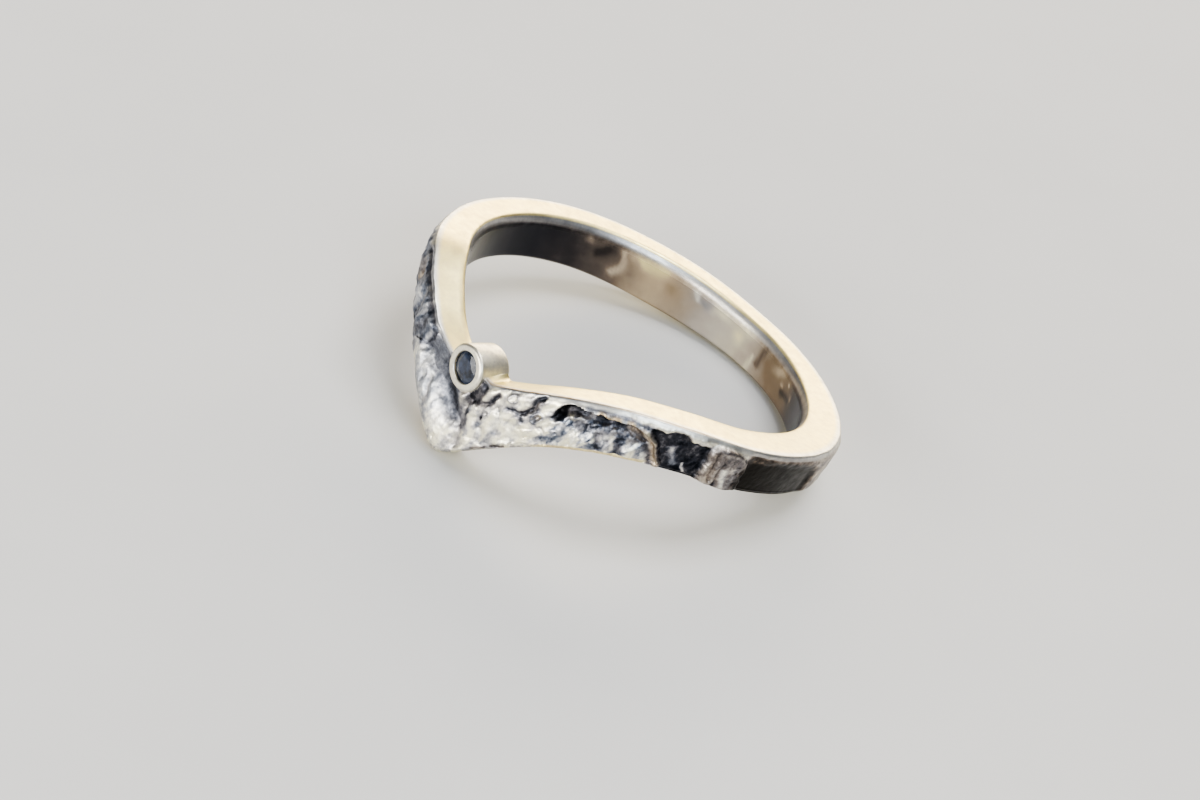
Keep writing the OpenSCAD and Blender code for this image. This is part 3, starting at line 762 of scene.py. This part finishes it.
def wall_reflection_tone(a, height, drop):
    """Tone and warmth of the finger hole's wall, its painted reflections, and of the bevel round its mouth,
    painted cool grey.
    """
    angle = np.where(a > 0, a - 360, a)[:, None] + 0 * height
    drift = field(angle, height, **WALL_NOISE)
    x = angle * PER_DEGREE + WALL_DRIFT * drift
    here = x / PER_DEGREE + GROUND_DRIFT * drift
    ground = [np.interp(here, WALL_REFLECTION_GROUND[:, 0], WALL_REFLECTION_GROUND[:, i], period=360) for i in (1, 2)]
    # Painted reflections of the polished wall, laid on its ground
    tone, warmth = painted(x, drop + WALL_DRIFT * drift, WALL_REFLECTIONS, *ground)
    # The bevel round the mouth, painted cool grey for the cool light it reflects
    mouth = 1 - smooth(drop, *MOUTH_ENDS)
    return tone + mouth * (MOUTH_TONE - tone), warmth + mouth * (MOUTH_WARMTH - warmth)


def cast_band(a):
    """The band's sections with their relief, and the tone and warmth of each point."""
    top = rim_z(a)
    rz, sides = sections(a, top)
    share = relief_share(a, sides)
    touched = share.any(axis=0)
    share = share[:, touched]
    angle = np.repeat(a[:, None], touched.sum(), axis=1)
    height = rz[:, touched, 1]
    drop = top[:, None] - height
    x = angle * PER_DEGREE + WANDER * field(angle, height, **STRAY_ALONG)
    y = drop + WANDER * field(angle, height, **STRAY_DOWN)
    away = from_tube(angle, height)
    clear = smooth(away, *TUBE_CLEARS)
    cast = (relief(x, y) + grain(angle, height, x, y)) * clear - TUBE_STANDS * (1 - clear)
    rz[:, touched, 0] += share * cast
    draw_up_solder(rz, a, top, sides)
    rz[:, touched, 0] += tube_seam(away) * (drop > SEAM_BELOW)

    # Rim painted warm cream for the warm light it reflects
    tone, warmth = np.full(rz.shape[:2], RIM_TONE), np.full(rz.shape[:2], RIM_PAINTED_WARMTH)
    tone[:, touched], warmth[:, touched] = face_tone(angle, height, drop, x, y, cast, share, sides[touched])
    wall = np.isin(sides, ["wall", "mouth", "foot_in"])
    tone[:, wall], warmth[:, wall] = wall_reflection_tone(a, rz[:, wall, 1], top[:, None] - rz[:, wall, 1])
    breaks = RIM_LINE_BREAKS * field(a, top, **RIM_LINE_NOISE)
    line = between(a, *RIM_LINE_ANGLES) * (1 - RIM_LINE_BREAKS + breaks)
    for row in np.flatnonzero(sides == "edge")[RIM_LINE_ROWS]:
        tone[:, row] += line * (RIM_LINE_TONE - tone[:, row])
        warmth[:, row] += line * (1 - warmth[:, row])
    return rz, sides, tone, warmth


def new_object(name, points, faces):
    mesh = bpy.data.meshes.new(name)
    mesh.from_pydata(points, [], faces)
    mesh.update()
    piece = bpy.data.objects.new(name, mesh)
    bpy.context.collection.objects.link(piece)
    return piece


def grid_faces(n, m):
    """Quads of a closed tube of n sections with m points each, both ways round."""
    i, j = np.meshgrid(np.arange(n), np.arange(m), indexing="ij")
    i1, j1 = (i + 1) % n, (j + 1) % m
    return np.stack([i * m + j, i1 * m + j, i1 * m + j1, i * m + j1], axis=-1).reshape(-1, 4).tolist()


def lathe(name, profile, place):
    """A closed solid turned round its +Z axis. Its profile starts and ends on the axis, at one point each."""
    ring = np.radians(np.arange(TUBE_SIDES) * 360 / TUBE_SIDES)
    points, faces, rows = [], [], []
    for r, z in profile:
        turns = ring if r else ring[:1]
        rows.append(range(len(points), len(points) + len(turns)))
        points += [(r * math.cos(t), r * math.sin(t), z) for t in turns]
    for low, high in zip(rows, rows[1:]):
        for k in range(TUBE_SIDES):
            quad = [row[i % len(row)] for row, i in ((low, k), (low, k + 1), (high, k + 1), (high, k))]
            faces.append(list(dict.fromkeys(quad)))
    return new_object(name, [place @ Vector(p) for p in points], faces)


def rounded(profile, radius, steps=3):
    """The profile with its inner corners rounded off."""
    p = [Vector(q) for q in profile]
    out = [p[0]]
    for a, b, c in zip(p, p[1:], p[2:]):
        r = min(radius, MOST_OF_SIDE * (a - b).length, MOST_OF_SIDE * (c - b).length)
        start, end = b + (a - b).normalized() * r, b + (c - b).normalized() * r
        for t in (k / steps for k in range(steps + 1)):
            out.append(start * (1 - t) ** 2 + b * 2 * t * (1 - t) + end * t * t)
    out.append(p[-1])
    return out


def combined(piece, tool, operation):
    """The piece joined with or cut by the tool, which is used up."""
    step = piece.modifiers.new(operation, "BOOLEAN")
    step.solver = "MANIFOLD"
    step.operation = operation
    step.object = tool
    made = bpy.data.meshes.new_from_object(piece.evaluated_get(bpy.context.evaluated_depsgraph_get()))
    piece.modifiers.clear()
    piece.data = made
    bpy.data.objects.remove(tool)


# Places
TIP_AND_BACK = np.array([0.0, 180.0])
RIM_Z_0, RIM_Z_180 = rim_z(TIP_AND_BACK).tolist()
FOOT_0, FOOT_180 = (rim_z(TIP_AND_BACK) - width(TIP_AND_BACK)).tolist()
OUT_0, OUT_180 = foot_out(TIP_AND_BACK).tolist()
RIM_OUT_180 = rim_out(TIP_AND_BACK).tolist()[1] + EDGE_BEVEL[0]
TIP_R = HOLE_R + FOOT_BEVEL
LEAN = math.atan((FOOT_180 - FOOT_0) / (OUT_180 - FOOT_BEVEL + TIP_R))
LIFT = -(TIP_R * math.sin(LEAN) + FOOT_0 * math.cos(LEAN))
FRONT_Y = -OUT_0 * math.cos(LEAN) + FOOT_0 * math.sin(LEAN)
BACK_Y = RIM_OUT_180 * math.cos(LEAN) + RIM_Z_180 * math.sin(LEAN)
AT_REST = Matrix.Translation((0, -(FRONT_Y + BACK_Y) / 2, LIFT)) @ Matrix.Rotation(-LEAN, 4, "X")
IN_TUBE = (
    Matrix.Translation((-TUBE_SHIFT, -HOLE_R - TUBE_L, RIM_Z_0 + TUBE_RISE))
    @ Matrix.Rotation(math.radians(-TUBE_TURN), 4, "Z")
    @ Matrix.Rotation(math.radians(90 - TUBE_TILT), 4, "X")
)


def tube_solid():
    """The tube, its rear end rounded and shaped to the wall of the finger hole."""
    bend = np.radians(np.arange(0, 91, 15))
    rear = [(TUBE_R - TUBE_REAR_R * (1 - math.sin(t)), -TUBE_L) for t in bend]
    front = [(TUBE_R, -TUBE_L / 2), (TUBE_R, -TUBE_BEVEL), (TUBE_R - TUBE_BEVEL, 0), (0, 0)]
    tube = lathe("tube", [(0, -TUBE_L), *rear, *rounded(front, TUBE_EDGE_R)], IN_TUBE)
    setback = {round(r, 4): TUBE_REAR_R * (1 - math.cos(t)) for (r, _), t in zip(rear, bend)}
    wall = HOLE_R + FRONT_EASE + OFF_WALL
    to_tube = IN_TUBE.inverted()
    noise.seed_set(TUBE_SEED)
    for v in tube.data.vertices:
        inner = to_tube @ v.co
        v.co += TUBE_WANDER * noise.noise_vector(v.co / TUBE_WANDER_SIZE)
        if inner.z < -TUBE_L + 0.01:
            step = setback.get(round(math.hypot(inner.x, inner.y), 4), 0)
            v.co.y = -math.sqrt(wall**2 - v.co.x**2) - step
    return tube


def seat_solid():
    """Hole of the tube: burnished lip, seat of the stone and the open hole behind it."""
    seat_r = STONE_R + STONE_GAP
    lip_r = STONE_R - LIP_OVER
    lip_h = GIRDLE_DEPTH - LIP_CLEAR
    floor = GIRDLE_DEPTH + SEAT_CLEAR
    end = TUBE_L + PAST_REAR
    mouth_r = lip_r + lip_h / 2
    profile = [
        (0, -end), (THROUGH_R, -end), (THROUGH_R, -floor - (seat_r - THROUGH_R)), (seat_r, -floor),
        (seat_r, -lip_h - (seat_r - lip_r)), (lip_r, -lip_h), (lip_r, -lip_h / 2), (mouth_r, HOLE_EDGE_R),
        (mouth_r, PAST_FRONT), (0, PAST_FRONT),
    ]
    return lathe("seat", rounded(profile, HOLE_EDGE_R), IN_TUBE)


def from_tube(a, z):
    """Distance of places on the outer face from the side of the tube."""
    return np.hypot(a * PER_DEGREE + TUBE_SHIFT, z - RIM_Z_0 - TUBE_RISE) - TUBE_R


def tube_seam(away):
    """Solder drawn up round the tube where it meets the cast face."""
    return SEAM_RISE * np.exp(-((np.clip(away, 0, None) / SEAM_REACH) ** 2)) * smooth(away, *SEAM_IN)


def build_band():
    """The band without its tube, and the points of its grid with the tone, warmth and finish of each."""
    a = section_angles()
    rz, sides, tone, warmth = cast_band(a)
    t, r = np.radians(a)[:, None], rz[..., 0]
    points = np.stack([r * np.sin(t), -r * np.cos(t), rz[..., 1]], axis=-1).reshape(-1, 3)
    band = new_object("band_cast", points.tolist(), grid_faces(*rz.shape[:2]))
    finish = np.full(len(sides), CAST)
    finish[np.isin(sides, ["mouth", "rim", "edge"])] = FILED
    finish[np.isin(sides, ["wall", "foot_in"])] = POLISHED
    return band, points, tone.ravel(), warmth.ravel(), np.tile(finish, len(a))


def looked_up(places, points, tone, warmth, finish):
    """Tone, warmth and finish at places, from the nearest point of the band's grid."""
    tree = KDTree(len(points))
    for i, p in enumerate(points):
        tree.insert(p, i)
    tree.balance()
    found = [tree.find(p) for p in places]
    index = np.array([k for _, k, _ in found])
    on_band = np.array([gap for _, _, gap in found]) < SAME_PLACE
    on_tube = ((tone, TUBE_TONE), (warmth, TUBE_WARMTH), (finish, TUBE))
    return [np.where(on_band, own[index], other) for own, other in on_tube]


# Materials
def new_material(name):
    """A material, its node tree and the inputs of its shader."""
    material = bpy.data.materials.new(name)
    material.use_nodes = True
    tree = material.node_tree
    return material, tree, tree.nodes["Principled BSDF"].inputs


def node(tree, kind, output, **inputs):
    """An output of a new node. Its inputs, named with _ for a space, are linked or set."""
    made = tree.nodes.new("ShaderNode" + kind)
    for name, value in inputs.items():
        socket = made.inputs[name.replace("_", " ")]
        if isinstance(value, bpy.types.NodeSocket):
            tree.links.new(value, socket)
        else:
            socket.default_value = value
    return made.outputs[output]


def attribute(tree, name):
    value = node(tree, "Attribute", "Fac")
    value.node.attribute_name = name
    return value


def ranged(tree, value, before, after=(0, 1)):
    """The value moved from one range to another."""
    ends = dict(zip(("From_Min", "From_Max", "To_Min", "To_Max"), (*before, *after)))
    return node(tree, "MapRange", "Result", Value=value, **ends)


def noise_texture(tree, scale, detail, roughness, stretch=None):
    coords = node(tree, "TexCoord", "Object")
    if stretch:
        coords = node(tree, "Mapping", "Vector", Vector=coords, Scale=stretch)
    return node(tree, "TexNoise", "Fac", Vector=coords, Scale=scale, Detail=detail, Roughness=roughness)


def ramp(tree, value, stops):
    colour = node(tree, "ValToRGB", "Color", Fac=value)
    elements = colour.node.color_ramp.elements
    for i, (place, shade) in enumerate(stops):
        stop = elements[i] if i < 2 else elements.new(place)
        stop.position = place
        stop.color = (*shade, 1)
    return colour


def mixed(tree, factor, first, second):
    made = tree.nodes.new("ShaderNodeMix")
    made.data_type = "RGBA"
    tree.links.new(factor, made.inputs["Factor"])
    for colour, name in ((first, "A"), (second, "B")):
        tree.links.new(colour, next(s for s in made.inputs if s.name == name and s.type == "RGBA"))
    return next(s for s in made.outputs if s.type == "RGBA")


# Silver from bright to black in even steps to the eye, on its slate and on its brown side
COOL_SILVER = [
    (0, (0.91, 0.91, 0.89)), (0.25, (0.45, 0.475, 0.52)), (0.5, (0.17, 0.19, 0.235)),
    (0.75, (0.036, 0.042, 0.058)), (1, (0.006, 0.008, 0.012)),
]
WARM_SILVER = [
    (0, (1, 0.88, 0.45)), (0.25, (0.6, 0.47, 0.3)), (0.5, (0.265, 0.18, 0.095)),
    (0.75, (0.06, 0.042, 0.024)), (1, (0.012, 0.009, 0.005)),
]
# Finishes of the silver in the order of their kinds: name, grains to a metre, roughness, how far patches
# shift the tone, depth of the grain in metres and stretch of the scratches
FINISHES = [
    ("cast_silver", 5200, 0.42, 0.14, 16e-6, None),
    ("filed_silver", 3000, 0.38, 0.06, 8e-6, (1, 1, 6)),
    ("polished_silver", 1500, 0.2, 0.02, 4e-6, None),
    ("tube_silver", 3600, 0.4, 0.09, 10e-6, None),
]
# Values that a noise texture mostly keeps to, and the range of the roughness in shares of its own value
NOISE_SPAN = (0.32, 0.68)
ROUGH_FROM, ROUGH_TO = 0.8, 1.25
# Detail and roughness of the silver's noise textures, two of their scales, and the strength of the bumps
PATCHY, DULL, GRAINY, SCRATCHED = (6.0, 0.65), (4.0, 0.55), (6.0, 0.6), (3.0, 0.5)
DULL_SCALE, SCRATCH_SCALE = 0.5, 0.6
GRAIN_BUMP, SCRATCH_BUMP = 0.6, 0.5
# Shades of the near-black blue stone and of the floor, their grains to a metre and their noise
STONE_SHADES = [(0.35, (0.006, 0.008, 0.014)), (0.65, (0.034, 0.044, 0.072))]
FLOOR_SHADES = [(0.3, (0.6, 0.6, 0.6)), (0.7, (0.63, 0.63, 0.63))]
STONE_GRAIN, FLOOR_GRAIN, MOTTLING = 2600, 60, (3.0, 0.55)


def silver(name, grain_scale, roughness, patchiness, grain_depth, scratch):
    """Silver coloured by the mesh's tone and warmth, with its painted shade and reflections, and a fine
    grain.
    """
    material, tree, shader = new_material(name)
    shader["Metallic"].default_value = 1.0
    patches = noise_texture(tree, grain_scale, *PATCHY)
    total = tree.nodes.new("ShaderNodeMath")
    total.use_clamp = True
    tree.links.new(attribute(tree, "tone"), total.inputs[0])
    tree.links.new(ranged(tree, patches, NOISE_SPAN, (-patchiness, patchiness)), total.inputs[1])
    cool, warm = (ramp(tree, total.outputs["Value"], stops) for stops in (COOL_SILVER, WARM_SILVER))
    warmth = ranged(tree, attribute(tree, "warmth"), (-1, 1))
    tree.links.new(mixed(tree, warmth, cool, warm), shader["Base Color"])
    dull = noise_texture(tree, grain_scale * DULL_SCALE, *DULL)
    greys = [(0.25, (roughness * ROUGH_FROM,) * 3), (0.75, (roughness * ROUGH_TO,) * 3)]
    tree.links.new(ramp(tree, dull, greys), shader["Roughness"])
    bumps = {"Strength": GRAIN_BUMP, "Distance": grain_depth}
    normal = node(tree, "Bump", "Normal", Height=noise_texture(tree, grain_scale, *GRAINY), **bumps)
    if scratch:
        lines = noise_texture(tree, grain_scale * SCRATCH_SCALE, *SCRATCHED, scratch)
        bumps["Strength"] = SCRATCH_BUMP
        normal = node(tree, "Bump", "Normal", Height=lines, Normal=normal, **bumps)
    tree.links.new(normal, shader["Normal"])
    return material


def mottled(name, grain_scale, shades, **values):
    """A material whose colour runs softly between two shades."""
    material, tree, shader = new_material(name)
    colour = ramp(tree, noise_texture(tree, grain_scale, *MOTTLING), shades)
    tree.links.new(colour, shader["Base Color"])
    for key, value in values.items():
        shader[key].default_value = value
    return material


# The ring
band, *grid = build_band()
combined(band, tube_solid(), "UNION")
combined(band, seat_solid(), "DIFFERENCE")
mesh = band.data
mesh.materials.clear()
where = np.empty(len(mesh.vertices) * 3)
mesh.vertices.foreach_get("co", where)
tone, warmth, finish = looked_up(where.reshape(-1, 3), *grid)
for name, values in (("tone", tone), ("warmth", warmth)):
    mesh.attributes.new(name, "FLOAT", "POINT").data.foreach_set("value", values.astype(np.float32))
for finish_of in FINISHES:
    mesh.materials.append(silver(*finish_of))
slots = np.empty(len(mesh.polygons), np.int32)
for i, polygon in enumerate(mesh.polygons):
    kinds = [finish[v] for v in polygon.vertices]
    slots[i] = max(set(kinds), key=kinds.count)
mesh.polygons.foreach_set("material_index", slots)
mesh.transform(Matrix.Scale(MM, 4) @ AT_REST)
mesh.shade_smooth()
mesh.set_sharp_from_angle(angle=math.radians(SHARP_ANGLE))
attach(band, "root")
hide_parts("band")

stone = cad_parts["stone"]
stone.data.materials.clear()
stone.data.materials.append(mottled("dark_stone", STONE_GRAIN, STONE_SHADES, Roughness=0.2, IOR=1.55))

# Floor, lights and camera
bpy.ops.mesh.primitive_plane_add(size=1.6)
floor = bpy.context.object
floor.name = "floor"
floor.data.materials.append(mottled("pale_floor", FLOOR_GRAIN, FLOOR_SHADES, Roughness=0.9))

# Camera as fitted to the photograph, in the upright ring's own frame: its place round the ring and above its
# plane, how far it is tipped over, its distance, and the middle of the ring in the picture
CAMERA_AZIMUTH, CAMERA_ELEVATION, CAMERA_ROLL = 36.5, 25.3, 25.8
CAMERA_DISTANCE = 180.0
PIXELS_PER_MM = 22.83
PICTURE_W, PICTURE_H = 1200, 800
RING_IN_PICTURE = (638.3, 330.8)
FIT_HEIGHT = 0.8
SENSOR_W, CLIP_START = 36, 0.01

azimuth, elevation, roll = (math.radians(v) for v in (CAMERA_AZIMUTH, CAMERA_ELEVATION, CAMERA_ROLL))
looks = Matrix.Rotation(azimuth, 4, "Z") @ Matrix.Rotation(math.pi / 2 - elevation, 4, "X")
looks = looks @ Matrix.Rotation(roll, 4, "Z")
aside = (PICTURE_W / 2 - RING_IN_PICTURE[0]) / PIXELS_PER_MM
above = (RING_IN_PICTURE[1] - PICTURE_H / 2) / PIXELS_PER_MM
lowered = Matrix.Translation((0, 0, -FIT_HEIGHT))
camera_pose = lowered @ looks @ Matrix.Translation((aside, above, CAMERA_DISTANCE))
camera_data = bpy.data.cameras.new("camera")
camera_data.sensor_fit = "HORIZONTAL"
camera_data.sensor_width = SENSOR_W
camera_data.lens = SENSOR_W * PIXELS_PER_MM * CAMERA_DISTANCE / PICTURE_W
camera_data.clip_start = CLIP_START
camera = bpy.data.objects.new("camera", camera_data)
bpy.context.collection.objects.link(camera)
pose = AT_REST @ camera_pose
pose.translation *= MM
camera.matrix_world = pose
bpy.context.scene.camera = camera


def softbox(name, side, height, distance, size, watts, colour):
    """A lamp that faces the ring, side degrees round from the camera's own side."""
    turn = math.atan2(pose.translation.x, -pose.translation.y) + math.radians(side)
    tall = math.radians(height)
    lamp = bpy.data.lights.new(name, "AREA")
    lamp.shape = "RECTANGLE"
    lamp.size, lamp.size_y = size
    lamp.energy = watts
    lamp.color = colour
    made = bpy.data.objects.new(name, lamp)
    bpy.context.collection.objects.link(made)
    away = Vector((math.sin(turn) * math.cos(tall), -math.cos(turn) * math.cos(tall), math.sin(tall)))
    made.location = away * distance
    made.rotation_euler = away.to_track_quat("Z", "Y").to_euler()


WARM, COOL = (1.0, 0.85, 0.62), (0.82, 0.91, 1.0)
softbox("back_box", 178, 19, 0.45, (0.5, 0.26), 2.6, WARM)
softbox("top_box", 110, 74, 0.5, (0.3, 0.3), 2.0, (1.0, 0.97, 0.93))
softbox("right_box", 22, 36, 0.5, (0.24, 0.2), 1.2, COOL)
softbox("front_box", -40, 14, 0.5, (0.46, 0.22), 3.3, (1.0, 0.98, 0.92))

# The studio: dark round the horizon and lighter overhead
SKY_SHADES = [(0, (0.04, 0.045, 0.055)), (0.35, (0.1, 0.11, 0.13)), (1, (0.62, 0.65, 0.7))]
SKY_SPAN, SKY_STRENGTH = (-0.1, 1), 0.6
world = bpy.data.worlds.new("studio")
bpy.context.scene.world = world
world.use_nodes = True
sky = world.node_tree
upward = node(sky, "SeparateXYZ", "Z", Vector=node(sky, "TexCoord", "Generated"))
backdrop = sky.nodes["Background"].inputs
sky.links.new(ramp(sky, ranged(sky, upward, SKY_SPAN), SKY_SHADES), backdrop["Color"])
backdrop["Strength"].default_value = SKY_STRENGTH
bpy.context.scene.view_settings.look = "AgX - Medium High Contrast"
